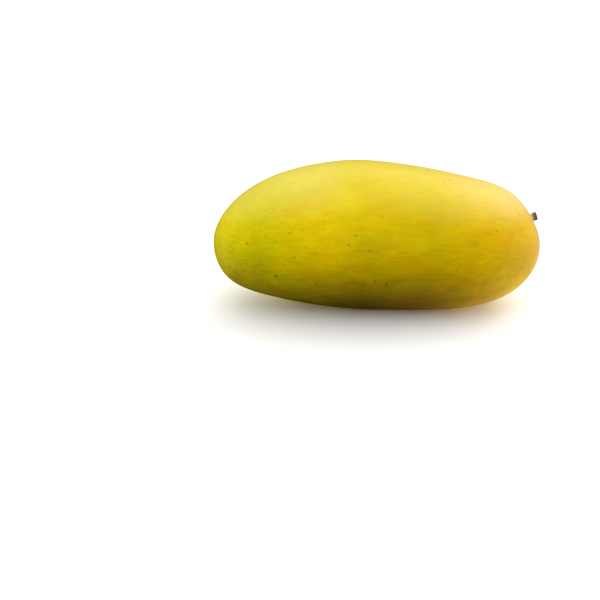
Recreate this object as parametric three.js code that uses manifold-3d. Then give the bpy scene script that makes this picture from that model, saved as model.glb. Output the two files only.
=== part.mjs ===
// A ripe, slender mango lying on its side, with the short stub of its stem still in place.
// Millimetres, +Z up. +X runs along the fruit from its rounded tip to its stem end. The part rests
// on a small flat spot at z = 0, and the origin is the middle of the bottom of its bounding box.
import * as THREE from "three";
import { mergeVertices } from "three/addons/utils/BufferGeometryUtils.js";
import Module from "manifold-3d";

// The fruit: its size, and how its outline changes along the length.
const LENGTH = 150;
const WIDTH = 70.3; // belly to back
const CHEEK_SHARE = 0.92; // thickness from cheek to cheek, as a share of the width
const BELLY_PINCH = 0.04; // how much the cheeks narrow towards the belly
const TIP_POWER = 1.55; // 2 is an ellipse, less is more pointed
const STEM_POWER = 2.45; // more than 2 is blunter
const POWER_BLEND = 3; // how fast one end's roundness gives way to the other's
const TAPER = 0.082; // slimming from the tip to the stem end
const FULLNESS = 0.2; // extra girth near both ends

// The middle line wanders by a few millimetres, partly towards the belly and partly to one cheek.
const ARCH_LEAN = -5.1;
const ARCH_SAG = -6.3;
const ARCH_CURL = 5.7;
const ARCH_BELLY_SHARE = 0.6;

// How it lies: the belly is turned up from the horizontal, and the underside is pressed flat.
const ROLL = THREE.MathUtils.degToRad(20);
const REST_DEPTH = 1.1; // how much of the underside the flat spot takes off
const REST_BLEND = 0.25; // softens the rim of the flat spot

// Where the stem grows: its station along the half length, and its angle from the belly.
const STEM_STATION = 0.945;
const STEM_ANGLE = 11;

// Broad swells of the skin, and hollows where the height is negative, in millimetres. The angle, in
// degrees, is from the belly towards the upper cheek. The first two are the slope and the small dip
// round the stem.
const SWELLS = [
  { station: STEM_STATION, angle: STEM_ANGLE, height: -2.6, reach: 10 },
  { station: STEM_STATION, angle: STEM_ANGLE, height: -0.6, reach: 4 },
  { station: 0.82, angle: 45, height: 1.3, reach: 10 },
  { station: 0.48, angle: 45, height: -0.7, reach: 16 },
  { station: 0.1, angle: 50, height: 0.3, reach: 22 },
  { station: -0.88, angle: 225, height: 0.5, reach: 9 },
  { station: -0.985, angle: 200, height: -0.7, reach: 7 },
];

// The stem's stub: a root in the fruit, a flared foot, a neck and a thicker broken end.
const ROOT_RADIUS = 1.5;
const ROOT_DEPTH = 2;
const FOOT_RADIUS = 2.5;
const NECK_RADIUS = 1.55;
const KNOB_RADIUS = 1.95;
const RIM = 0.3;
const STEM_HEIGHT = 7; // above the skin
const STEM_LEAN = 0.3; // from the skin's normal towards the fruit's length
const GAP = 0.3; // between the stem and the fruit

const FRUIT_RINGS = 46;
const FRUIT_SEGMENTS = 64;
const STEM_SEGMENTS = 24;

const LENGTHWISE = new THREE.Vector3(1, 0, 0);
const BELLY = new THREE.Vector3(0, Math.cos(ROLL), Math.sin(ROLL));
const CHEEK = new THREE.Vector3(0, -Math.sin(ROLL), Math.cos(ROLL));

// A point at station t along the fruit, from -1 to 1, and an angle round it, 0 at the belly.
function bodyPoint(t, angle) {
  const blend = 0.5 + 0.5 * Math.tanh(POWER_BLEND * t);
  const power = THREE.MathUtils.lerp(TIP_POWER, STEM_POWER, blend);
  const round = Math.sqrt(Math.max(0, 1 - Math.abs(t) ** power));
  const girth = (round * (1 - TAPER * t + FULLNESS * t * t) * WIDTH) / 2;
  const arch = ARCH_LEAN * t + ARCH_SAG * t * t + ARCH_CURL * t ** 3;
  const belly = ARCH_BELLY_SHARE * arch + girth * Math.cos(angle);
  const pinch = 1 - BELLY_PINCH * Math.cos(angle);
  const cheek = (1 - ARCH_BELLY_SHARE) * arch + CHEEK_SHARE * pinch * girth * Math.sin(angle);
  return new THREE.Vector3()
    .addScaledVector(LENGTHWISE, (t * LENGTH) / 2)
    .addScaledVector(BELLY, belly)
    .addScaledVector(CHEEK, cheek);
}

// A spot on the body and its outward normal there.
function bodySite(station, angle) {
  const step = 1e-4;
  const along = bodyPoint(station + step, angle).sub(bodyPoint(station - step, angle));
  const around = bodyPoint(station, angle + step).sub(bodyPoint(station, angle - step));
  return { point: bodyPoint(station, angle), normal: around.cross(along).normalize() };
}

function placedSwells() {
  return SWELLS.map(({ station, angle, height, reach }) => {
    const site = bodySite(station, THREE.MathUtils.degToRad(angle));
    return { site, height, reach };
  });
}

// A point of the body, moved out or in by the swells near it.
function skinPoint(t, angle, swells) {
  const point = bodyPoint(t, angle);
  const moved = point.clone();
  for (const { site, height, reach } of swells) {
    const distance = point.distanceTo(site.point);
    const share = Math.exp((-distance * distance) / (2 * reach * reach));
    moved.addScaledVector(site.normal, height * share);
  }
  return moved;
}

// The skin is a ball with its poles at the tip and at the stem, drawn out to the fruit's shape.
function fruitSkin(swells) {
  const skin = new THREE.SphereGeometry(1, FRUIT_SEGMENTS, FRUIT_RINGS);
  const position = skin.getAttribute("position");
  const poleLean = Math.acos(STEM_STATION);
  const poleTurn = THREE.MathUtils.degToRad(STEM_ANGLE);
  for (let i = 0; i < position.count; i++) {
    const along = position.getY(i);
    const side = position.getZ(i);
    const lean = poleLean * ((1 + along) / 2) ** 2;
    const t = along * Math.cos(lean) - side * Math.sin(lean);
    const up = along * Math.sin(lean) + side * Math.cos(lean);
    const angle = Math.atan2(position.getX(i), up) + poleTurn;
    const point = skinPoint(THREE.MathUtils.clamp(t, -1, 1), angle, swells);
    position.setXYZ(i, point.x, point.y, point.z);
  }
  return skin;
}

// Lowers the skin onto z = 0 and presses its underside flat there. Returns how far it came down.
function settle(skin) {
  skin.computeBoundingBox();
  const drop = skin.boundingBox.min.z + REST_DEPTH;
  const position = skin.getAttribute("position");
  for (let i = 0; i < position.count; i++) {
    const z = position.getZ(i) - drop;
    const eased = (z + REST_BLEND) ** 2 / (4 * REST_BLEND);
    position.setZ(i, z < -REST_BLEND ? 0 : z < REST_BLEND ? eased : z);
  }
  return drop;
}

// The stem's outline from its root up, as radius and height above the skin, both ends on the axis.
function stemOutline() {
  return [
    [0, -ROOT_DEPTH],
    [ROOT_RADIUS, -ROOT_DEPTH],
    [ROOT_RADIUS, 2 * GAP],
    [FOOT_RADIUS, 2 * GAP],
    [FOOT_RADIUS - RIM, 3 * GAP],
    [NECK_RADIUS + RIM, 0.3 * STEM_HEIGHT],
    [NECK_RADIUS, 0.5 * STEM_HEIGHT],
    [NECK_RADIUS + RIM / 3, 0.7 * STEM_HEIGHT],
    [KNOB_RADIUS, 0.85 * STEM_HEIGHT],
    [KNOB_RADIUS, 0.95 * STEM_HEIGHT],
    [KNOB_RADIUS - RIM, STEM_HEIGHT],
    [0, STEM_HEIGHT - RIM],
  ].map(([radius, height]) => new THREE.Vector2(radius, height));
}

function stemGeometry() {
  return new THREE.LatheGeometry(stemOutline(), STEM_SEGMENTS);
}

// What the root's hole takes out of the fruit, along +Y like the stem.
function rootHole() {
  const radius = ROOT_RADIUS + GAP;
  const depth = ROOT_DEPTH + GAP;
  return new THREE.CylinderGeometry(radius, radius, 2 * depth, STEM_SEGMENTS);
}

// Turns a shape made along +Y to stand on the skin where the stem grows.
function standOnSkin(geometry, foot, direction) {
  const up = new THREE.Vector3(0, 1, 0);
  geometry.applyQuaternion(new THREE.Quaternion().setFromUnitVectors(up, direction));
  return geometry.translate(foot.x, foot.y, foot.z);
}

// One closed solid from a geometry whose seams are still open.
function solid(wasm, geometry) {
  const bare = new THREE.BufferGeometry().setIndex(geometry.index);
  bare.setAttribute("position", geometry.getAttribute("position"));
  const joined = mergeVertices(bare, 1e-3);
  const vertProperties = joined.getAttribute("position").array;
  const triVerts = new Uint32Array(joined.index.array);
  return new wasm.Manifold(new wasm.Mesh({ numProp: 3, vertProperties, triVerts }));
}

function geometryOf(manifold) {
  const { vertProperties, triVerts } = manifold.getMesh();
  const geometry = new THREE.BufferGeometry();
  geometry.setAttribute("position", new THREE.BufferAttribute(vertProperties, 3));
  return geometry.setIndex(new THREE.BufferAttribute(triVerts, 1));
}

function piece(name, geometry, color, roughness) {
  const material = new THREE.MeshStandardMaterial({ color, roughness, metalness: 0 });
  const mesh = new THREE.Mesh(geometry, material);
  mesh.name = name;
  return mesh;
}

function buildMango(wasm) {
  const swells = placedSwells();
  const skin = fruitSkin(swells);
  const drop = settle(skin);

  const stemAngle = THREE.MathUtils.degToRad(STEM_ANGLE);
  const foot = skinPoint(STEM_STATION, stemAngle, swells);
  foot.z -= drop;
  const { normal } = bodySite(STEM_STATION, stemAngle);
  const direction = normal.addScaledVector(LENGTHWISE, STEM_LEAN).normalize();
  const hole = solid(wasm, standOnSkin(rootHole(), foot, direction));
  const fruit = geometryOf(solid(wasm, skin).subtract(hole));
  const stem = standOnSkin(stemGeometry(), foot, direction);

  const mango = new THREE.Group();
  mango.add(piece("fruit", fruit, 0xd6b81c, 0.45));
  mango.add(piece("stem", stem, 0x5e4a2c, 0.85));
  const middle = new THREE.Box3().setFromObject(mango).getCenter(new THREE.Vector3());
  mango.position.set(-middle.x, -middle.y, 0);
  return mango;
}

const wasm = await Module();
wasm.setup();
const mango = buildMango(wasm);

export default mango;
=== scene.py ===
"""The looks of a ripe, slender mango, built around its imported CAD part.

Everything is in metres and in the part's own frame: +X runs along the fruit from its rounded tip
to its stem end, +Z is up, and the fruit rests on z = 0 on a small flat spot.
"""
import math

import bmesh
import bpy
from bpy.props import FloatProperty, FloatVectorProperty, PointerProperty
from bpy.types import Operator, Panel, PropertyGroup
from mathutils import Matrix, Vector, noise


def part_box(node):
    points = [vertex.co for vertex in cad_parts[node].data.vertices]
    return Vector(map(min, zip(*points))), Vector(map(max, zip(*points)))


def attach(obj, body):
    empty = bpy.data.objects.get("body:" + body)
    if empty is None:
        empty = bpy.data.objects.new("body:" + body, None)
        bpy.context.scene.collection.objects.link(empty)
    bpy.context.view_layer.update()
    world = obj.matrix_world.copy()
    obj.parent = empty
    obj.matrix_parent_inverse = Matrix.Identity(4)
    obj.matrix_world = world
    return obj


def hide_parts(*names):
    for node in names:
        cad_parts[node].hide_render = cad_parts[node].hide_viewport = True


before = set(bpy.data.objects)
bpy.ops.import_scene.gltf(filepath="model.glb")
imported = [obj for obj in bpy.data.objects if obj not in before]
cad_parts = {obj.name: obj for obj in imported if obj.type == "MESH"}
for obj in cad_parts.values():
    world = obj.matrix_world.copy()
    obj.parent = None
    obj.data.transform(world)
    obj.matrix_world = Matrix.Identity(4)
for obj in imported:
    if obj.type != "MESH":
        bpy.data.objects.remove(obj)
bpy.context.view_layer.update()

bl_info = {
    "name": "Ripe Mango",
    "version": (1, 0, 0),
    "blender": (4, 5, 0),
    "location": "3D View > Sidebar > Mango",
    "description": "Builds a ripe slender mango with the stub of its stem, on a pale studio floor",
    "category": "Object",
}

FRUIT_LOW, FRUIT_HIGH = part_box("fruit")

MM = 0.001

# The fruit's outline along its length. Stations run from -1 at the tip to 1 at the stem end.
TIP_POWER = 1.55  # 2 is an ellipse, less is more pointed
STEM_POWER = 2.45  # more than 2 is blunter
POWER_BLEND = 3.0  # how fast one end's roundness gives way to the other's
TAPER = 0.082  # slimming from the tip to the stem end
FULLNESS = 0.2  # extra girth near both ends
CHEEK_SHARE = 0.92  # thickness from cheek to cheek, as a share of the width
BELLY_PINCH = 0.04  # how much the cheeks narrow towards the belly

# The middle line wanders a little, partly towards the belly and partly to one cheek.
ARCH_LEAN = -5.1 * MM
ARCH_SAG = -6.3 * MM
ARCH_CURL = 5.7 * MM
ARCH_BELLY_SHARE = 0.6

# Where the stem grows: its station, and its angle from the belly towards the upper cheek.
STEM_STATION = 0.945
STEM_ANGLE = math.radians(11)
STEM_LEAN = 0.3  # from the skin's normal towards the fruit's length

# Broad swells of the skin, and hollows where the height is negative: station, angle in degrees,
# height and reach in millimetres. The first two are the slope and the small dip round the stem.
SWELLS = (
    (STEM_STATION, math.degrees(STEM_ANGLE), -2.6, 10),
    (STEM_STATION, math.degrees(STEM_ANGLE), -0.6, 4),
    (0.82, 45, 1.3, 10),
    (0.48, 45, -0.7, 16),
    (0.1, 50, 0.3, 22),
    (-0.88, 225, 0.5, 9),
    (-0.985, 200, -0.7, 7),
)
REST_BLEND = 0.25 * MM  # softens the rim of the flat spot

# The skin's mesh: rings crowd towards the stem, where the detail is finest.
SKIN_RINGS = 208
SKIN_SEGMENTS = 288
RING_CROWDING = 0.5

# Waves in the skin, as reach and height.
WAVES = ((24 * MM, 0.16 * MM), (7 * MM, 0.03 * MM))

# The ring of skin that stands up round the stem's foot, and its puckers.
COLLAR_RADIUS = 3.1 * MM
COLLAR_WIDTH = 0.7 * MM
COLLAR_HEIGHT = 0.35 * MM
PUCKERS = 9
PUCKER_REACH = 3.2 * MM
PUCKER_DEPTH = 0.12 * MM

# The small scar where the flower's style stood, beside the tip.
SCAR_STATION = -0.992
SCAR_ANGLE = math.radians(20)
SCAR_RADIUS = 0.9 * MM
SCAR_DEPTH = 0.35 * MM

# The skin's colours along its crown, its flanks and its underside: station and linear colour.
# The crown's are partly the skin's own paler tone and partly a painted highlight: their blue
# stands in for the wax's pale gloss on top. The underside's are painted light and shade.
CROWN_COLOURS_WITH_HIGHLIGHT = (
    (-0.95, (0.80, 0.68, 0.075)),
    (-0.7, (0.70, 0.60, 0.05)),
    (-0.4, (0.69, 0.565, 0.065)),
    (-0.1, (0.65, 0.51, 0.025)),
    (0.3, (0.66, 0.51, 0.04)),
    (0.6, (0.74, 0.53, 0.09)),
    (0.9, (0.79, 0.56, 0.165)),
)
FLANK_COLOURS = (
    (-0.95, (0.82, 0.69, 0.001)),
    (-0.7, (0.68, 0.575, 0.001)),
    (-0.4, (0.85, 0.60, 0.0)),
    (-0.1, (0.71, 0.50, 0.0)),
    (0.3, (0.62, 0.43, 0.0)),
    (0.6, (0.69, 0.44, 0.001)),
    (0.85, (0.67, 0.40, 0.01)),
    (1.0, (0.66, 0.40, 0.03)),
)
# Painted light and shade on the underside's front: dark in the middle, where shade falls, and light at
# the tip and towards the stem end, where bounce light falls.
UNDERSIDE_LIGHT_AND_SHADE = (
    (-0.95, (0.95, 0.74, 0.001)),
    (-0.7, (0.48, 0.37, 0.0)),
    (-0.4, (0.27, 0.20, 0.0)),
    (-0.1, (0.20, 0.12, 0.0)),
    (0.2, (0.25, 0.13, 0.0)),
    (0.4, (0.40, 0.22, 0.0)),
    (0.6, (0.76, 0.41, 0.0)),
    (0.8, (0.97, 0.63, 0.02)),
    (1.0, (0.66, 0.42, 0.04)),
)

# Painted shade on the back, which the strong light from behind would show paler than the front:
# how far round it begins to be and is fully, and its tint.
BACK_RANGE = (0.45, 0.9)
BACK_PAINTED_SHADE = (0.8, 0.77, 0.7)

# The colours' borders, wide and soft: the upward slopes where the crown's colour begins and is
# full, the same for the underside's painted light and shade, and how far round to the front that
# reaches.
CROWN_RANGE = (0.52, 0.96)
UNDERSIDE_RANGE = (0.25, -0.75)
FRONT_RANGE = (0.3, -0.25)
STATION_DRIFT = 0.12  # how far broad clouds shift the colours along the fruit, in stations
SLOPE_DRIFT = 0.15  # and round it, as a change of slope

# The flush round the stem.
FLUSH_REACH = 11 * MM
FLUSH_WANDER = 0.5
FLUSH_STRENGTH = 0.7

# Clouds in the skin's colour, from broad to fine: size in millimetres, how far they are drawn out
# along the fruit, their detail and contrast, and how deep they go in light and dark and in hue.
CLOUDS = {
    "patches": (12, 1.6, 2.0, 1.0, 0.12, 0.16),
    "blotches": (4.5, 2.5, 3.0, 1.0, 0.24, 0.10),
    "streaks": (1.4, 6.0, 3.0, 2.2, 0.14, 0.06),
    "grain": (0.7, 1.5, 2.0, 1.0, 0.13, 0.07),
}

# How far light and dark clouds change the skin's red, green and blue.
SHADE_TINT = (1.0, 1.45, 1.6)

# The waxy crown is more even than the rest: the upward slopes where it begins to be and where it
# is most, and how strong clouds and freckles still are there.
EVEN_RANGE = (0.3, 0.9)
EVEN_STRENGTH = 0.42

# The lower skin towards the tip is livelier: the slopes and the stations where it begins to be and
# is fully, and how much stronger clouds and freckles are there.
LIVELY_SLOPES = (0.15, -0.4)
LIVELY_STATIONS = (0.5, -0.1)
LIVELY_EXTRA = 0.6

# How far the skin's grain, its streaks and its single marks stand out.
GRAIN_RELIEF = 0.03 * MM
STREAK_RELIEF = 0.04 * MM
MARK_RELIEF = -0.08 * MM

SPOT_CORE = 0.3  # the share of a freckle's or a mark's radius that tells in full
WAX_SPECULAR = 0.3
WAX_UNEVENNESS = 0.06  # how far the blotches change the roughness, up and down

# Freckles scattered over the skin: how far they are drawn out along the fruit, their spacing and
# radius in millimetres, the share of sites that hold one, how strongly they tell, how far they
# stand out in millimetres, and the setting that holds their tint.
FRECKLES = (
    (1.0, 3.0, 0.9, 0.6, 0.45, 0.04, "pore_tint"),
    (1.0, 2.8, 0.8, 0.55, 0.45, -0.03, "dash_tint"),
    (6.0, 2.2, 0.6, 0.5, 0.45, -0.02, "dash_tint"),
    (5.0, 2.4, 0.6, 0.5, 0.40, 0.02, "pore_tint"),
    (1.3, 7.0, 0.9, 0.5, 0.6, -0.05, "speck_tint"),
)

PATCH_GREEN = 1.04  # the patches are a little greener than the skin
PATCH_WANDER = 0.8

# Broad soft patches, lighter or darker than the skin round them: station, angle in degrees, reach
# in millimetres and lightness as a share of the skin's. Most are the skin's own tone; the two
# darker ones low on the front rim, at -167 and -165 degrees, are painted contact shade.
TONE_AND_SHADE_PATCHES = (
    (-0.03, 143, 10, 0.86),
    (-0.02, 164, 9, 0.9),
    (0.57, 148, 8, 0.91),
    (0.56, 170, 9, 0.9),
    (-0.50, 153, 6, 0.9),
    (-0.83, 165, 10, 0.92),
    (-0.17, 112, 11, 1.08),
    (0.24, 140, 8, 1.08),
    (-0.22, 154, 9, 1.07),
    (0.38, 131, 7, 1.07),
    (0.92, 122, 9, 1.08),
    (0.92, -178, 8, 0.88),
    # The next two are painted contact shade low on the front rim.
    (-0.85, -167, 7, 0.78),
    (0.52, -165, 6, 0.85),
    (0.59, 116, 7, 1.05),
    (-0.41, 132, 9, 0.94),
    (0.08, 161, 7, 0.92),
)

# Single dark marks: station, angle in degrees, radius in millimetres and how strongly they tell.
MARKS = (
    (-0.78, 142, 0.85, 0.6),
    (-0.62, 112, 0.7, 0.35),
    (-0.61, 176, 0.85, 1.0),
    (-0.51, 173, 0.7, 0.45),
    (-0.37, 180, 0.8, 0.45),
    (-0.14, 138, 1.2, 0.35),
    (-0.09, 178, 0.8, 0.45),
    (-0.06, 149, 0.8, 0.45),
    (0.04, 176, 0.85, 0.85),
    (0.43, 79, 1.1, 0.4),
    (0.39, 85, 0.8, 0.3),
    (-0.5, 156, 0.9, 0.35),
    (-0.32, 134, 0.7, 0.3),
    (0.01, 124, 0.8, 0.3),
    (0.45, 162, 0.9, 0.35),
    (0.57, 140, 0.8, 0.25),
    (0.69, 126, 0.8, 0.3),
)

# The stem's outline from its root up, as shares of the knob's radius and of the stem's height.
STEM_OUTLINE = (
    (0.0, -0.28),
    (0.7, -0.28),
    (1.1, -0.1),
    (1.6, 0.03),
    (1.36, 0.14),
    (1.08, 0.28),
    (0.88, 0.45),
    (0.87, 0.62),
    (0.98, 0.8),
    (1.02, 0.93),
    (0.9, 0.995),
    (0.72, 0.97),
    (0.3, 0.955),
    (0.0, 0.95),
)
STEM_STEPS = 72
STEM_CUTS = 3
BREAK_START = 0.6  # above this share of its height the stem is sheared, so that it ends aslant
BREAK_SLANT = 0.55  # how far it is at the top, as a slope

# The stem's colours, as shares of its height: where the foot's gives way to the side's, and the
# side's to the broken end's. Its fibres make the borders uneven.
FOOT_BORDER = (0.5, 0.8)
END_BORDER = (0.85, 0.95)
FIBRE_SIZE = 0.6 * MM
FIBRE_RELIEF = 0.2 * MM
BORDER_DRIFT = 0.15

# Pale cards round the fruit that light matt surfaces: the way each lies, the cosines where its
# light begins and is full, and its brightness.
SOFT_CARDS = (
    ((1, 0.7, 0), 0.3, 0.9, 2.0),
    ((1, 0, 0), 0.6, 0.98, 0.37),
    ((-1, 0.7, 0), 0.3, 0.9, 0.85),
    ((0, -1, 1), 0.6, 0.98, 1.6),
    ((-0.5, -0.7, 0.6), 0.4, 0.95, 0.2),
    ((0, 0, 1), 0.2, 0.9, 0.17),
    ((0.68, 0, -0.73), 0.5, 0.95, 0.95),
    ((-0.8, 0, -0.6), 0.6, 0.95, 0.15),
    ((0, 0.8, 0.6), 0.45, 0.9, 0.4),
)

# What glossy surfaces mirror, given alike but with a colour: a white card behind and above, one
# to the right, and golden ones low on both sides.
SHEEN_CARDS = (
    ((0, 0.8, 0.6), 0.45, 0.9, (0.18, 0.18, 0.18)),
    ((0.6, 0.8, -0.15), 0.78, 0.97, (0.35, 0.35, 0.35)),
    ((0.55, 0.5, -0.67), 0.86, 0.98, (1.5, 0.95, 0.2)),
    ((-0.72, 0.6, -0.35), 0.8, 0.97, (0.35, 0.32, 0)),
)

SENSOR_WIDTH = 36.0  # the camera's, in millimetres
NEAREST_SEEN = 0.01

# ---------------------------------------------------------------- the fruit's form


def fruit_axes(roll):
    """The directions along the fruit, towards its belly and towards its upper cheek."""
    lengthwise = Vector((1, 0, 0))
    belly = Vector((0, math.cos(roll), math.sin(roll)))
    cheek = Vector((0, -math.sin(roll), math.cos(roll)))
    return lengthwise, belly, cheek


def body_point(form, station, angle):
    """A point of the body at a station along it and an angle round it, 0 at the belly."""
    lengthwise, belly_way, cheek_way = form["axes"]
    blend = 0.5 + 0.5 * math.tanh(POWER_BLEND * station)
    power = TIP_POWER + (STEM_POWER - TIP_POWER) * blend
    roundness = math.sqrt(max(0.0, 1 - abs(station) ** power))
    girth = roundness * (1 - TAPER * station + FULLNESS * station**2) * form["width"] / 2
    arch = ARCH_LEAN * station + ARCH_SAG * station**2 + ARCH_CURL * station**3
    belly = ARCH_BELLY_SHARE * arch + girth * math.cos(angle)
    pinch = 1 - BELLY_PINCH * math.cos(angle)
    cheek = (1 - ARCH_BELLY_SHARE) * arch + CHEEK_SHARE * pinch * girth * math.sin(angle)
    along = station * form["length"] / 2
    return lengthwise * along + belly_way * belly + cheek_way * cheek


def body_site(form, station, angle):
    """A spot on the body and its outward normal there."""
    step = 1e-4
    ahead = body_point(form, station + step, angle)
    behind = body_point(form, station - step, angle)
    one_side = body_point(form, station, angle + step)
    other_side = body_point(form, station, angle - step)
    normal = (one_side - other_side).cross(ahead - behind).normalized()
    return body_point(form, station, angle), normal


def bell(distance, reach):
    """1 at no distance, falling off smoothly over the reach."""
    return math.exp(-0.5 * (distance / reach) ** 2)


def skin_point(form, station, angle):
    """A point of the body, moved out or in by the swells near it."""
    point = body_point(form, station, angle)
    moved = point.copy()
    for site, normal, height, reach in form["swells"]:
        moved += normal * height * bell((point - site).length, reach)
    return moved


def fruit_form(settings):
    """The values that the form's formulas share, worked out once from the user's settings."""
    form = {
        "length": settings.length,
        "width": settings.width,
        "axes": fruit_axes(settings.roll),
    }
    form["swells"] = []
    for station, degrees, height, reach in SWELLS:
        site, normal = body_site(form, station, math.radians(degrees))
        form["swells"].append((site, normal, height * MM, reach * MM))
    form["foot"] = skin_point(form, STEM_STATION, STEM_ANGLE)
    form["foot_normal"] = body_site(form, STEM_STATION, STEM_ANGLE)[1]
    form["stem_way"] = (form["foot_normal"] + form["axes"][0] * STEM_LEAN).normalized()
    form["scar"], form["scar_normal"] = body_site(form, SCAR_STATION, SCAR_ANGLE)
    return form


def sphere_station(co):
    """The station and angle that a point of the unit ball is drawn out to. Its top is the stem."""
    polar = math.acos(max(-1.0, min(1.0, co.z)))
    polar -= RING_CROWDING * math.sin(polar)
    turn = math.atan2(co.y, co.x)
    along = math.cos(polar)
    side = math.sin(polar) * math.cos(turn)
    across = math.sin(polar) * math.sin(turn)
    lean = math.acos(STEM_STATION) * ((1 + along) / 2) ** 2
    station = along * math.cos(lean) - side * math.sin(lean)
    up = along * math.sin(lean) + side * math.cos(lean)
    return max(-1.0, min(1.0, station)), math.atan2(across, up) + STEM_ANGLE


def waves(point):
    """How far the skin's gentle waves move a point out."""
    return sum(height * noise.noise(point / reach) for reach, height in WAVES)


def stem_end_relief(form, point):
    """How far the collar round the stem and its puckers move a point out."""
    offset = point - form["foot"]
    distance = offset.length
    if distance > 6 * COLLAR_RADIUS:
        return 0.0
    belly_way = form["axes"][1]
    sideways = offset.cross(form["foot_normal"])
    turn = math.atan2(sideways.dot(belly_way), offset.dot(belly_way))
    wobble = 1.5 * noise.noise(point / (4 * MM))
    pucker = 0.5 + 0.5 * math.cos(PUCKERS * turn + 4 * wobble)
    collar = COLLAR_HEIGHT * bell(distance - COLLAR_RADIUS, COLLAR_WIDTH) * (1 + 0.5 * wobble)
    return collar - PUCKER_DEPTH * pucker * bell(distance - 1.5 * COLLAR_RADIUS, PUCKER_REACH)


def shape_skin(bm, form):
    """Draws the unit ball out to the fruit's shape, with its waves, its collar and its scar."""
    for vert in bm.verts:
        vert.co = skin_point(form, *sphere_station(vert.co))
    bm.normal_update()
    moves = []
    for vert in bm.verts:
        relief = waves(vert.co) + stem_end_relief(form, vert.co)
        relief -= SCAR_DEPTH * bell((vert.co - form["scar"]).length, SCAR_RADIUS)
        moves.append(vert.normal * relief)
    for vert, move in zip(bm.verts, moves):
        vert.co += move


def settle(bm, depth):
    """Lowers the skin onto z = 0, presses its underside flat and returns how far it came down."""
    drop = min(vert.co.z for vert in bm.verts) + depth
    for vert in bm.verts:
        height = vert.co.z - drop
        if height < -REST_BLEND:
            height = 0.0
        elif height < REST_BLEND:
            height = (height + REST_BLEND) ** 2 / (4 * REST_BLEND)
        vert.co.z = height
    return drop


def shift_to_frame(bm):
    """How far the skin has to move along X and Y for its middle to be the CAD fruit's."""
    shift = Vector((0, 0, 0))
    for axis in (0, 1):
        low = min(vert.co[axis] for vert in bm.verts)
        high = max(vert.co[axis] for vert in bm.verts)
        shift[axis] = (FRUIT_LOW[axis] + FRUIT_HIGH[axis] - low - high) / 2
    return shift


def finished_piece(name, bm, material, node):
    """A smooth-shaded object from a mesh in place, which stands for a CAD node and rides with it."""
    mesh = bpy.data.meshes.new(name)
    bm.to_mesh(mesh)
    bm.free()
    mesh.shade_smooth()
    mesh.materials.append(material)
    piece = bpy.data.objects.new(name, mesh)
    bpy.context.scene.collection.objects.link(piece)
    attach(piece, "root")
    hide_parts(node)
    return piece


# ---------------------------------------------------------------- node helpers


def add_node(tree, kind, inputs=None, **settings):
    """Adds a node. An input is a value or another node's output socket."""
    node = tree.nodes.new(kind)
    for name, value in settings.items():
        setattr(node, name, value)
    for key, value in (inputs or {}).items():
        if isinstance(value, bpy.types.NodeSocket):
            tree.links.new(value, node.inputs[key])
        else:
            node.inputs[key].default_value = value
    return node


def calculate(tree, operation, *values):
    """A Math node's output."""
    return add_node(tree, "ShaderNodeMath", dict(enumerate(values)), operation=operation).outputs[0]


def calculate_vector(tree, operation, *values, output="Vector"):
    """A Vector Math node's output. DISTANCE and DOT_PRODUCT give theirs as Value."""
    node = add_node(tree, "ShaderNodeVectorMath", dict(enumerate(values)), operation=operation)
    return node.outputs[output]


def remap(tree, value, low, high, to_low=0.0, to_high=1.0, smooth=True):
    """A value carried from one range to another, clamped, and eased at both ends if smooth."""
    inputs = {"Value": value, "From Min": low, "From Max": high, "To Min": to_low, "To Max": to_high}
    kind = "SMOOTHSTEP" if smooth else "LINEAR"
    return add_node(tree, "ShaderNodeMapRange", inputs, interpolation_type=kind).outputs["Result"]


def mix_colour(tree, share, first, second):
    """Two colours mixed."""
    node = add_node(tree, "ShaderNodeMix", data_type="RGBA")
    for key, value in ((0, share), (6, first), (7, second)):
        if isinstance(value, bpy.types.NodeSocket):
            tree.links.new(value, node.inputs[key])
        else:
            node.inputs[key].default_value = value
    return node.outputs[2]


def tinted(tree, colour, tint):
    """A colour multiplied by a tint, which may also brighten it."""
    return calculate_vector(tree, "MULTIPLY", colour, tint)


def drawn_out(tree, place, stretch):
    """A place squeezed along X, so that a pattern read there is drawn out along X."""
    squeeze = add_node(tree, "ShaderNodeCombineXYZ", {"Y": 1.0, "Z": 1.0})
    tree.links.new(calculate(tree, "DIVIDE", 1.0, stretch), squeeze.inputs["X"])
    return calculate_vector(tree, "MULTIPLY", place, squeeze.outputs["Vector"])


def rgba(colour):
    """A colour with full alpha."""
    return (*colour, 1.0)


def colour_ramp(tree, value, stops):
    """A colour looked up from stops, each a position from -1 to 1 and a colour."""
    scaled = calculate(tree, "MULTIPLY_ADD", value, 0.5, 0.5)
    node = add_node(tree, "ShaderNodeValToRGB", {"Fac": scaled})
    node.color_ramp.interpolation = "EASE"
    points = node.color_ramp.elements
    while len(points) < len(stops):
        points.new(0.5)
    for point, (station, colour) in zip(points, stops):
        point.position = (station + 1) / 2
        point.color = rgba(colour)
    return node.outputs["Color"]


def new_group(name, inputs, outputs):
    """An empty shader node group with its sockets, and its input and output nodes."""
    tree = bpy.data.node_groups.new(name, "ShaderNodeTree")
    for socket, kind, default in inputs:
        made = tree.interface.new_socket(name=socket, in_out="INPUT", socket_type=kind)
        if default is not None:
            made.default_value = default
    for socket, kind in outputs:
        tree.interface.new_socket(name=socket, in_out="OUTPUT", socket_type=kind)
    return tree, tree.nodes.new("NodeGroupInput").outputs, tree.nodes.new("NodeGroupOutput").inputs


def use_group(tree, name, **inputs):
    """Places a node group in a material. Underscores in the input names stand for spaces."""
    node = tree.nodes.new("ShaderNodeGroup")
    node.node_tree = bpy.data.node_groups[name]
    for key, value in inputs.items():
        socket = node.inputs[key.replace("_", " ")]
        if isinstance(value, bpy.types.NodeSocket):
            tree.links.new(value, socket)
        else:
            socket.default_value = value
    return node.outputs


# ---------------------------------------------------------------- shared effects


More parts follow.
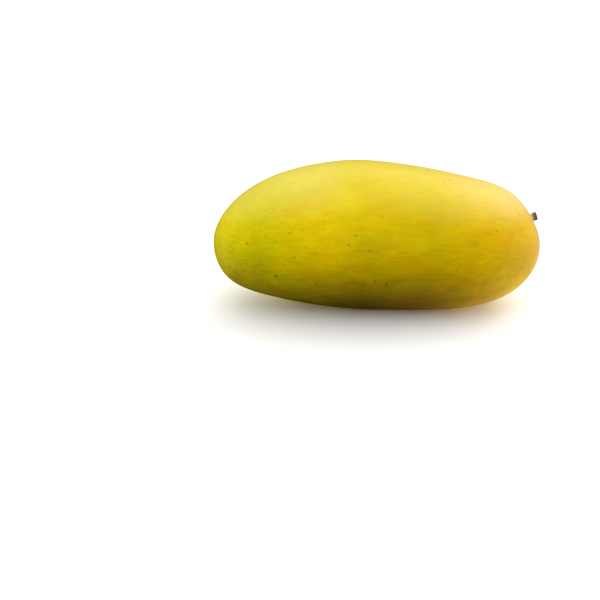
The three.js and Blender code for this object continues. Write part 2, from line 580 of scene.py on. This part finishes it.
def make_mottle_group():
    """Cloudy variation of one size: a value between 0 and 1, and a colour that wanders in hue too.

    Stretch draws the clouds out along X, as streaks.
    """
    tree, given, result = new_group(
        "Mottle",
        (
            ("Vector", "NodeSocketVector", None),
            ("Size", "NodeSocketFloat", 0.004),
            ("Stretch", "NodeSocketFloat", 1.0),
            ("Detail", "NodeSocketFloat", 2.0),
            ("Contrast", "NodeSocketFloat", 1.0),
        ),
        (("Value", "NodeSocketFloat"), ("Colour", "NodeSocketColor")),
    )
    cloud = add_node(
        tree,
        "ShaderNodeTexNoise",
        {
            "Vector": drawn_out(tree, given["Vector"], given["Stretch"]),
            "Scale": calculate(tree, "DIVIDE", 1.0, given["Size"]),
            "Detail": given["Detail"],
            "Roughness": 0.55,
        },
    )
    centred = calculate(tree, "SUBTRACT", cloud.outputs["Fac"], 0.5)
    value = calculate(tree, "MULTIPLY_ADD", centred, given["Contrast"], 0.5)
    tree.links.new(remap(tree, value, 0.0, 1.0, smooth=False), result["Value"])
    parts = add_node(tree, "ShaderNodeSeparateColor", {"Color": cloud.outputs["Color"]}).outputs
    hues = add_node(
        tree,
        "ShaderNodeCombineColor",
        {"Red": parts["Green"], "Green": parts["Blue"], "Blue": parts["Red"]},
    )
    tree.links.new(hues.outputs["Color"], result["Colour"])


def make_specks_group():
    """Scattered, slightly ragged specks, drawn out along X by Stretch.

    Share is how many of the sites hold one, and Shift moves the whole scatter.
    """
    tree, given, result = new_group(
        "Specks",
        (
            ("Vector", "NodeSocketVector", None),
            ("Stretch", "NodeSocketFloat", 1.0),
            ("Spacing", "NodeSocketFloat", 0.002),
            ("Radius", "NodeSocketFloat", 0.0003),
            ("Share", "NodeSocketFloat", 0.5),
            ("Shift", "NodeSocketFloat", 0.0),
        ),
        (("Mask", "NodeSocketFloat"),),
    )
    rough = use_group(tree, "Mottle", Vector=given["Vector"], Size=0.0012, Detail=1.0)["Colour"]
    ragged = calculate_vector(tree, "SUBTRACT", rough, (0.5, 0.5, 0.5))
    reach = calculate(tree, "MULTIPLY", given["Radius"], 1.2)
    place = calculate_vector(tree, "MULTIPLY_ADD", ragged, reach, given["Vector"])
    moved = calculate_vector(tree, "ADD", place, given["Shift"])
    drawn = drawn_out(tree, moved, given["Stretch"])
    scale = calculate(tree, "DIVIDE", 1.0, given["Spacing"])
    cells = add_node(tree, "ShaderNodeTexVoronoi", {"Vector": drawn, "Scale": scale})
    distance = calculate(tree, "MULTIPLY", cells.outputs["Distance"], given["Spacing"])
    chance = add_node(tree, "ShaderNodeSeparateColor", {"Color": cells.outputs["Color"]})
    size = remap(tree, chance.outputs["Red"], 0.0, 1.0, 0.5, 1.0, smooth=False)
    radius = calculate(tree, "MULTIPLY", given["Radius"], size)
    core = calculate(tree, "MULTIPLY", radius, SPOT_CORE)
    spot = remap(tree, distance, core, radius, 1.0, 0.0)
    kept = calculate(tree, "LESS_THAN", chance.outputs["Green"], given["Share"])
    strength = remap(tree, chance.outputs["Blue"], 0.0, 1.0, 0.4, 1.0, smooth=False)
    kept = calculate(tree, "MULTIPLY", kept, strength)
    tree.links.new(calculate(tree, "MULTIPLY", spot, kept), result["Mask"])


def make_flush_group():
    """A soft-edged patch round a centre, with a wandering outline."""
    tree, given, result = new_group(
        "Flush",
        (
            ("Vector", "NodeSocketVector", None),
            ("Centre", "NodeSocketVector", None),
            ("Reach", "NodeSocketFloat", 0.02),
            ("Wander", "NodeSocketFloat", 0.3),
        ),
        (("Mask", "NodeSocketFloat"),),
    )
    distance = calculate_vector(tree, "DISTANCE", given["Vector"], given["Centre"], output="Value")
    share = calculate(tree, "DIVIDE", distance, given["Reach"])
    cloud = use_group(tree, "Mottle", Vector=given["Vector"], Size=0.012, Detail=3.0, Contrast=1.6)
    shift = calculate(tree, "SUBTRACT", cloud["Value"], 0.5)
    moved = calculate(tree, "MULTIPLY_ADD", shift, given["Wander"], share)
    tree.links.new(remap(tree, moved, 1.0, 0.0), result["Mask"])


def make_effect_groups():
    """All of the shared effects. The later ones use the first."""
    make_mottle_group()
    make_specks_group()
    make_flush_group()


# ---------------------------------------------------------------- materials


def new_material(name):
    """A material with its node tree emptied, and its Principled BSDF linked to the output."""
    material = bpy.data.materials.new(name)
    material.use_nodes = True
    tree = material.node_tree
    tree.nodes.clear()
    shader = tree.nodes.new("ShaderNodeBsdfPrincipled")
    output = tree.nodes.new("ShaderNodeOutputMaterial")
    tree.links.new(shader.outputs["BSDF"], output.inputs["Surface"])
    return material, tree, shader


def bumps(tree, layers):
    """Stacks Bump nodes, each given as a height socket and its depth in metres."""
    normal = None
    for height, depth in layers:
        node = add_node(tree, "ShaderNodeBump", {"Height": height, "Distance": depth})
        if normal is not None:
            tree.links.new(normal, node.inputs["Normal"])
        normal = node.outputs["Normal"]
    return normal


def clouded(tree, colour, clouds, liveliness):
    """A colour varied by the clouds in light and dark, and in hue."""
    change = (0.0, 0.0, 0.0)
    for name, (*_, depth, hue) in CLOUDS.items():
        centred = calculate(tree, "SUBTRACT", clouds[name]["Value"], 0.5)
        shade = tinted(tree, calculate(tree, "MULTIPLY", centred, depth), SHADE_TINT)
        wander = calculate_vector(tree, "SUBTRACT", clouds[name]["Colour"], (0.5, 0.5, 0.5))
        change = calculate_vector(tree, "MULTIPLY_ADD", wander, (hue, hue, hue), change)
        change = calculate_vector(tree, "ADD", change, shade)
    change = calculate_vector(tree, "MULTIPLY_ADD", change, liveliness, (1.0, 1.0, 1.0))
    return tinted(tree, colour, change)


def skin_slopes(tree, place, normal, settings):
    """The station along the fruit and the upward slope, both made to drift by broad clouds."""
    clouds = use_group(tree, "Mottle", Vector=place, Size=0.02, Stretch=1.5, Detail=3.0, Contrast=1.5)
    drift = calculate(tree, "SUBTRACT", clouds["Value"], 0.5)
    along = add_node(tree, "ShaderNodeSeparateXYZ", {"Vector": place}).outputs["X"]
    station = calculate(tree, "DIVIDE", along, settings.length / 2)
    station = calculate(tree, "MULTIPLY_ADD", drift, STATION_DRIFT, station)
    return station, calculate(tree, "MULTIPLY_ADD", drift, SLOPE_DRIFT, normal["Z"])


def skin_ground_with_painted_light(tree, station, slope, normal):
    """The skin's broad colours along the fruit, from its crown to its underside and its back. They hold
    painted light and shade: a painted highlight in the crown's, painted shade and bounce light on the
    underside's front, and painted shade on the back.
    """
    colour = colour_ramp(tree, station, FLANK_COLOURS)
    # The crown's colours carry a painted highlight in their blue.
    crown_with_highlight = colour_ramp(tree, station, CROWN_COLOURS_WITH_HIGHLIGHT)
    colour = mix_colour(tree, remap(tree, slope, *CROWN_RANGE), colour, crown_with_highlight)
    # Painted light and shade on the underside, kept to the front: dark in the middle, light at both
    # ends.
    painted_underside = colour_ramp(tree, station, UNDERSIDE_LIGHT_AND_SHADE)
    painted_underside_share = remap(tree, slope, *UNDERSIDE_RANGE)
    painted_underside_share = calculate(tree, "MULTIPLY", painted_underside_share, remap(tree, normal["Y"], *FRONT_RANGE))
    colour = mix_colour(tree, painted_underside_share, colour, painted_underside)
    # Painted shade: the back is darkened against the strong light from behind.
    behind = remap(tree, normal["Y"], *BACK_RANGE)
    return mix_colour(tree, behind, colour, tinted(tree, colour, BACK_PAINTED_SHADE))


def skin_liveliness(tree, station, slope):
    """How strong clouds and freckles are: 1 on the flanks, less on the crown, more low at the tip."""
    calm = remap(tree, slope, *EVEN_RANGE, 1.0, EVEN_STRENGTH)
    lively = remap(tree, slope, *LIVELY_SLOPES, 0.0, LIVELY_EXTRA)
    lively = calculate(tree, "MULTIPLY", lively, remap(tree, station, *LIVELY_STATIONS))
    return calculate(tree, "ADD", calm, lively)


def with_flush(tree, colour, place, foot, blush):
    """A colour that blushes round the stem's foot."""
    flush = use_group(
        tree, "Flush", Vector=place, Centre=foot, Reach=FLUSH_REACH, Wander=FLUSH_WANDER
    )["Mask"]
    share = calculate(tree, "MULTIPLY", flush, FLUSH_STRENGTH)
    return mix_colour(tree, share, colour, rgba(blush))


def with_tone_and_shade_patches(tree, colour, place, patches):
    """A colour with the broad soft patches, each given with its centre, reach and lightness. Most are
    the skin's own tone; the darker ones on the low front rim are painted contact shade.
    """
    for centre, reach, lightness in patches:
        patch = use_group(
            tree, "Flush", Vector=place, Centre=centre, Reach=reach, Wander=PATCH_WANDER
        )["Mask"]
        tint = (lightness, lightness * PATCH_GREEN, lightness)
        colour = mix_colour(tree, patch, colour, tinted(tree, colour, tint))
    return colour


def with_freckles(tree, colour, place, liveliness, settings):
    """A colour with the scattered freckles, and their masks with how far they stand out."""
    heights = []
    for index, freckle in enumerate(FRECKLES):
        stretch, spacing, radius, share, strength, height, tint_name = freckle
        mask = use_group(
            tree,
            "Specks",
            Vector=place,
            Stretch=stretch,
            Spacing=spacing * MM,
            Radius=radius * MM,
            Share=share,
            Shift=index * 0.1,
        )["Mask"]
        told = calculate(tree, "MULTIPLY", calculate(tree, "MULTIPLY", mask, strength), liveliness)
        colour = mix_colour(tree, told, colour, tinted(tree, colour, getattr(settings, tint_name)))
        heights.append((mask, height * MM))
    return colour, heights


def marks_mask(tree, place, marks):
    """Single dark marks, each given with its centre, its radius and how strongly it tells."""
    mask = 0.0
    for centre, radius, strength in marks:
        distance = calculate_vector(tree, "DISTANCE", place, centre, output="Value")
        spot = remap(tree, distance, SPOT_CORE * radius, radius, strength, 0.0)
        mask = calculate(tree, "MAXIMUM", spot, mask)
    return mask


def skin_material(settings, sites):
    """Waxy ripe skin: green-yellow tip, gold middle and peach stem end, with pores and specks, and
    painted highlight and shade.
    """
    material, tree, shader = new_material("mango_skin")
    coordinates = tree.nodes.new("ShaderNodeTexCoord").outputs
    place = coordinates["Object"]
    normal = add_node(tree, "ShaderNodeSeparateXYZ", {"Vector": coordinates["Normal"]}).outputs

    station, slope = skin_slopes(tree, place, normal, settings)
    # Broad colours, with a painted highlight on the crown and painted shade and light below and behind.
    colour = skin_ground_with_painted_light(tree, station, slope, normal)
    colour = with_flush(tree, colour, place, sites["foot"], settings.blush_colour)
    # Patches of the skin's own tone, and painted contact shade on the low front rim.
    colour = with_tone_and_shade_patches(tree, colour, place, sites["patches"])

    liveliness = skin_liveliness(tree, station, slope)
    clouds = {}
    for name, (size, stretch, detail, contrast, *_) in CLOUDS.items():
        clouds[name] = use_group(
            tree,
            "Mottle",
            Vector=place,
            Size=size * MM,
            Stretch=stretch,
            Detail=detail,
            Contrast=contrast,
        )
    colour = clouded(tree, colour, clouds, liveliness)
    colour, freckle_heights = with_freckles(tree, colour, place, liveliness, settings)
    marks = marks_mask(tree, place, sites["marks"])
    colour = mix_colour(tree, marks, colour, tinted(tree, colour, settings.speck_tint))
    tree.links.new(colour, shader.inputs["Base Color"])

    heights = [
        (clouds["grain"]["Value"], GRAIN_RELIEF),
        (clouds["streaks"]["Value"], STREAK_RELIEF),
        *freckle_heights,
        (marks, MARK_RELIEF),
    ]
    tree.links.new(bumps(tree, heights), shader.inputs["Normal"])
    low, high = settings.roughness - WAX_UNEVENNESS, settings.roughness + WAX_UNEVENNESS
    roughness = remap(tree, clouds["blotches"]["Value"], 0.0, 1.0, low, high, smooth=False)
    tree.links.new(roughness, shader.inputs["Roughness"])
    shader.inputs["Specular IOR Level"].default_value = WAX_SPECULAR
    shader.inputs["Specular Tint"].default_value = rgba(settings.sheen_colour)
    return material


def stem_material(settings):
    """Dry woody stalk: pale corky foot, olive-brown side and a dark broken end."""
    material, tree, shader = new_material("stem_wood")
    place = tree.nodes.new("ShaderNodeTexCoord").outputs["Object"]
    height = add_node(tree, "ShaderNodeAttribute", attribute_name="height").outputs["Fac"]
    fibres = use_group(tree, "Mottle", Vector=place, Size=FIBRE_SIZE, Detail=4.0, Contrast=2.0)["Value"]
    centred = calculate(tree, "SUBTRACT", fibres, 0.5)
    moved = calculate(tree, "MULTIPLY_ADD", centred, BORDER_DRIFT, height)
    foot, side, end = (
        rgba(colour) for colour in (settings.foot_colour, settings.side_colour, settings.end_colour)
    )
    colour = mix_colour(tree, remap(tree, moved, *FOOT_BORDER), foot, side)
    colour = mix_colour(tree, remap(tree, moved, *END_BORDER), colour, end)
    shade = remap(tree, fibres, 0.0, 1.0, 0.7, 1.3, smooth=False)
    tree.links.new(tinted(tree, colour, shade), shader.inputs["Base Color"])
    tree.links.new(remap(tree, fibres, 0.0, 1.0, 0.7, 0.95), shader.inputs["Roughness"])
    tree.links.new(bumps(tree, ((fibres, FIBRE_RELIEF),)), shader.inputs["Normal"])
    return material


def floor_material(settings):
    """Plain pale matt paper."""
    material, tree, shader = new_material("pale_floor")
    shader.inputs["Base Color"].default_value = rgba(settings.floor_colour)
    shader.inputs["Roughness"].default_value = 0.9
    shader.inputs["Specular IOR Level"].default_value = 0.1
    return material


# ---------------------------------------------------------------- settings


class MangoFruitSettings(PropertyGroup):
    """The fruit's size, its lie and the colours of its skin."""

    length: FloatProperty(
        name="Length",
        description="The fruit's length from tip to stem end, before the slope round the stem",
        default=150 * MM,
        subtype="DISTANCE",
    )
    width: FloatProperty(
        name="Width", description="From belly to back", default=71.1 * MM, subtype="DISTANCE"
    )
    roll: FloatProperty(
        name="Roll",
        description="How far the belly is turned up from the horizontal",
        default=math.radians(20),
        subtype="ANGLE",
    )
    rest_depth: FloatProperty(
        name="Rest depth",
        description="How much of the underside the flat spot takes off",
        default=1.1 * MM,
        subtype="DISTANCE",
    )
    blush_colour: FloatVectorProperty(
        name="Blush", description="Flush round the stem", default=(0.80, 0.50, 0.09), subtype="COLOR"
    )
    pore_tint: FloatVectorProperty(
        name="Pores",
        description="Pale pores, as shares of the skin's colour",
        default=(1.32, 1.5, 1.3),
    )
    dash_tint: FloatVectorProperty(
        name="Dashes",
        description="Short streaks, as shares of the skin's colour",
        default=(0.6, 0.58, 0.5),
    )
    speck_tint: FloatVectorProperty(
        name="Specks",
        description="Dark specks, as shares of the skin's colour",
        default=(0.2, 0.2, 0.15),
    )
    sheen_colour: FloatVectorProperty(
        name="Sheen", description="Tint of the wax's gloss", default=(1.0, 0.9, 0.1), subtype="COLOR"
    )
    roughness: FloatProperty(
        name="Roughness", description="0 is glossy, 1 is matt", default=0.31, subtype="FACTOR"
    )


class MangoStemSettings(PropertyGroup):
    """The stem stub's size and colours."""

    height: FloatProperty(
        name="Height", description="Above the skin", default=7.4 * MM, subtype="DISTANCE"
    )
    radius: FloatProperty(
        name="Radius", description="Of the broken end", default=1.95 * MM, subtype="DISTANCE"
    )
    foot_colour: FloatVectorProperty(
        name="Foot", description="Pale corky foot", default=(0.62, 0.46, 0.22), subtype="COLOR"
    )
    side_colour: FloatVectorProperty(
        name="Side", description="Woody side", default=(0.17, 0.11, 0.03), subtype="COLOR"
    )
    end_colour: FloatVectorProperty(
        name="End", description="Dark broken end", default=(0.07, 0.05, 0.035), subtype="COLOR"
    )


class MangoStageSettings(PropertyGroup):
    """The floor, the light and the camera."""

    floor_size: FloatProperty(
        name="Floor", description="Side of the floor", default=6.0, subtype="DISTANCE"
    )
    floor_colour: FloatVectorProperty(
        name="Floor colour", description="Pale paper", default=(0.93, 0.93, 0.92), subtype="COLOR"
    )
    backdrop_colour: FloatVectorProperty(
        name="Backdrop",
        description="What shows past the floor",
        default=(1.0, 1.0, 1.0),
        subtype="COLOR",
    )
    card_brightness: FloatProperty(
        name="Cards", description="Brightness of the cards round the fruit", default=1.0
    )
    softbox_brightness: FloatProperty(
        name="Softbox", description="Brightness of the large light overhead", default=0.9
    )
    softbox_height: FloatProperty(
        name="Softbox height", description="Its distance from the floor", default=3.0, subtype="DISTANCE"
    )
    softbox_spread: FloatProperty(
        name="Softbox spread",
        description="Half the angle that it fills as seen from the fruit",
        default=math.radians(40),
        subtype="ANGLE",
    )
    softbox_lean: FloatVectorProperty(
        name="Softbox lean",
        description="How far it stands off to the right and back, as shares of its height",
        default=(0.2, 0.4, 0.0),
    )
    camera_distance: FloatProperty(
        name="Camera distance", description="From the point it aims at", default=0.65, subtype="DISTANCE"
    )
    camera_elevation: FloatProperty(
        name="Camera elevation",
        description="How far it looks down",
        default=math.radians(25),
        subtype="ANGLE",
    )
    camera_aim: FloatVectorProperty(
        name="Camera aim",
        description="The point in the middle of the picture",
        default=(-35.4 * MM, -13.2 * MM, 5.1 * MM),
        subtype="XYZ",
    )
    focal_length: FloatProperty(
        name="Lens", description="Focal length in millimetres on a 36 mm sensor", default=85.0
    )


# ---------------------------------------------------------------- operators


class MANGO_OT_build_fruit(Operator):
    """Build the fruit with its skin"""

    bl_idname = "mango.build_fruit"
    bl_label = "Fruit"
    bl_options = {"REGISTER", "UNDO"}

    def execute(self, context):
        settings = context.scene.mango_fruit
        form = fruit_form(settings)
        bm = bmesh.new()
        bmesh.ops.create_uvsphere(bm, u_segments=SKIN_SEGMENTS, v_segments=SKIN_RINGS, radius=1.0)
        shape_skin(bm, form)
        drop = settle(bm, settings.rest_depth)
        shift = shift_to_frame(bm)
        bmesh.ops.translate(bm, verts=bm.verts, vec=shift)
        bmesh.ops.recalc_face_normals(bm, faces=bm.faces)
        move = shift - Vector((0, 0, drop))
        sites = {"foot": form["foot"] + move}
        context.scene["stem_foot"] = sites["foot"]
        context.scene["stem_way"] = form["stem_way"]
        for name, table in (("marks", MARKS), ("patches", TONE_AND_SHADE_PATCHES)):
            sites[name] = [
                (skin_point(form, station, math.radians(degrees)) + move, reach * MM, strength)
                for station, degrees, reach, strength in table
            ]
        finished_piece("fruit_skin", bm, skin_material(settings, sites), "fruit")
        return {"FINISHED"}


class MANGO_OT_build_stem(Operator):
    """Build the stub of the stem"""

    bl_idname = "mango.build_stem"
    bl_label = "Stem"
    bl_options = {"REGISTER", "UNDO"}

    def execute(self, context):
        settings = context.scene.mango_stem
        if "stem_foot" not in context.scene:
            raise RuntimeError("build the fruit first: the stem stands on its skin")
        foot = Vector(context.scene["stem_foot"])
        way = Vector(context.scene["stem_way"])
        bm = bmesh.new()
        points = [bm.verts.new((r * settings.radius, 0, h * settings.height)) for r, h in STEM_OUTLINE]
        edges = [bm.edges.new(pair) for pair in zip(points, points[1:])]
        bmesh.ops.subdivide_edges(bm, edges=edges, cuts=STEM_CUTS)
        inner = [vert for vert in bm.verts if vert.co.x > 0]
        bmesh.ops.smooth_vert(bm, verts=inner, factor=0.5, use_axis_x=True, use_axis_z=True)
        bmesh.ops.spin(
            bm,
            geom=bm.verts[:] + bm.edges[:],
            cent=(0, 0, 0),
            axis=(0, 0, 1),
            angle=math.tau,
            steps=STEM_STEPS,
            use_merge=True,
        )
        bmesh.ops.remove_doubles(bm, verts=bm.verts, dist=1e-6)
        bmesh.ops.recalc_face_normals(bm, faces=bm.faces)
        heights = bm.verts.layers.float.new("height")
        for vert in bm.verts:
            vert[heights] = vert.co.z / settings.height
            slant = BREAK_SLANT * max(0.0, vert[heights] - BREAK_START) / (1 - BREAK_START)
            vert.co.z += slant * vert.co.y
        turn = Vector((0, 0, 1)).rotation_difference(way).to_matrix().to_4x4()
        bmesh.ops.transform(bm, matrix=Matrix.Translation(foot) @ turn, verts=bm.verts)
        finished_piece("stem_stub", bm, stem_material(settings), "stem")
        return {"FINISHED"}


def add_floor(settings):
    """A sheet of paper that only the camera sees: what it would bounce is in the cards' light."""
    bm = bmesh.new()
    bmesh.ops.create_grid(bm, x_segments=8, y_segments=8, size=settings.floor_size / 2)
    mesh = bpy.data.meshes.new("floor")
    bm.to_mesh(mesh)
    bm.free()
    mesh.materials.append(floor_material(settings))
    floor = bpy.data.objects.new("floor", mesh)
    floor.visible_diffuse = False
    floor.visible_glossy = False
    bpy.context.scene.collection.objects.link(floor)


def card_share(tree, way, towards, edge, core):
    """How fully a card shows in each direction, from 0 outside its edge to 1 in its core."""
    towards = Vector(towards).normalized()
    return remap(tree, calculate_vector(tree, "DOT_PRODUCT", way, towards, output="Value"), edge, core)


def add_world(settings):
    """Soft light from the sides and the front, and a plain backdrop in the camera's sight."""
    world = bpy.data.worlds.new("studio")
    bpy.context.scene.world = world
    world.use_nodes = True
    tree = world.node_tree
    tree.nodes.clear()
    way = tree.nodes.new("ShaderNodeTexCoord").outputs["Generated"]
    matt = 0.0
    for towards, edge, core, brightness in SOFT_CARDS:
        share = card_share(tree, way, towards, edge, core)
        matt = calculate(tree, "MULTIPLY_ADD", share, brightness, matt)
    gloss = (0.0, 0.0, 0.0)
    for towards, edge, core, colour in SHEEN_CARDS:
        share = card_share(tree, way, towards, edge, core)
        gloss = calculate_vector(tree, "MULTIPLY_ADD", share, colour, gloss)
    rays = tree.nodes.new("ShaderNodeLightPath").outputs
    cards = mix_colour(tree, rays["Is Glossy Ray"], matt, gloss)
    light = add_node(tree, "ShaderNodeBackground", {"Color": cards})
    light.inputs["Strength"].default_value = settings.card_brightness
    backdrop = add_node(tree, "ShaderNodeBackground", {"Color": rgba(settings.backdrop_colour)})
    mix = add_node(
        tree,
        "ShaderNodeMixShader",
        {0: rays["Is Camera Ray"], 1: light.outputs["Background"], 2: backdrop.outputs["Background"]},
    )
    output = tree.nodes.new("ShaderNodeOutputWorld")
    tree.links.new(mix.outputs["Shader"], output.inputs["Surface"])


def add_softbox(settings):
    """A large round light overhead, as bright from the fruit whatever its distance."""
    light = bpy.data.lights.new("softbox", "AREA")
    light.shape = "DISK"
    radius = settings.softbox_height * math.tan(settings.softbox_spread)
    light.size = 2 * radius
    light.energy = settings.softbox_brightness * math.pi**2 * radius**2
    lamp = bpy.data.objects.new("softbox", light)
    towards = Vector(settings.softbox_lean)
    towards.z = 1.0
    lamp.location = towards.normalized() * settings.softbox_height
    lamp.rotation_euler = (-towards).to_track_quat("-Z", "Y").to_euler()
    bpy.context.scene.collection.objects.link(lamp)


def add_camera(settings):
    """The camera, in front of the fruit and above it."""
    data = bpy.data.cameras.new("camera")
    data.lens = settings.focal_length
    data.sensor_width = SENSOR_WIDTH
    data.clip_start = NEAREST_SEEN
    camera = bpy.data.objects.new("camera", data)
    elevation = settings.camera_elevation
    back = Vector((0, -math.cos(elevation), math.sin(elevation)))
    camera.location = Vector(settings.camera_aim) + back * settings.camera_distance
    camera.rotation_euler = (math.pi / 2 - elevation, 0, 0)
    bpy.context.scene.collection.objects.link(camera)
    bpy.context.scene.camera = camera


class MANGO_OT_build_stage(Operator):
    """Build the floor, the lights and the camera"""

    bl_idname = "mango.build_stage"
    bl_label = "Stage"
    bl_options = {"REGISTER", "UNDO"}

    def execute(self, context):
        settings = context.scene.mango_stage
        context.scene.view_settings.view_transform = "Standard"
        add_floor(settings)
        add_world(settings)
        add_softbox(settings)
        add_camera(settings)
        return {"FINISHED"}


class MANGO_OT_build_effects(Operator):
    """Build the node groups that the materials share"""

    bl_idname = "mango.build_effects"
    bl_label = "Effects"
    bl_options = {"REGISTER", "UNDO"}

    def execute(self, context):
        make_effect_groups()
        return {"FINISHED"}


OPERATORS = (MANGO_OT_build_effects, MANGO_OT_build_stage, MANGO_OT_build_fruit, MANGO_OT_build_stem)


class MANGO_PT_sidebar(Panel):
    """Lists the parts of the mango scene"""

    bl_label = "Mango"
    bl_idname = "MANGO_PT_sidebar"
    bl_space_type = "VIEW_3D"
    bl_region_type = "UI"
    bl_category = "Mango"

    def draw(self, context):
        for operator in OPERATORS:
            self.layout.operator(operator.bl_idname)
        for settings in (context.scene.mango_fruit, context.scene.mango_stem, context.scene.mango_stage):
            box = self.layout.box()
            for name in settings.__annotations__:
                box.prop(settings, name)


SETTINGS = {
    "mango_fruit": MangoFruitSettings,
    "mango_stem": MangoStemSettings,
    "mango_stage": MangoStageSettings,
}


def register():
    for name, group in SETTINGS.items():
        bpy.utils.register_class(group)
        setattr(bpy.types.Scene, name, PointerProperty(type=group))
    for cls in (*OPERATORS, MANGO_PT_sidebar):
        bpy.utils.register_class(cls)


def unregister():
    for cls in reversed((*OPERATORS, MANGO_PT_sidebar)):
        bpy.utils.unregister_class(cls)
    for name, group in reversed(SETTINGS.items()):
        delattr(bpy.types.Scene, name)
        bpy.utils.unregister_class(group)


def main():
    """Builds everything in order."""
    register()
    bpy.ops.mango.build_effects()
    bpy.ops.mango.build_stage()
    bpy.ops.mango.build_fruit()
    bpy.ops.mango.build_stem()


if __name__ == "__main__":
    main()
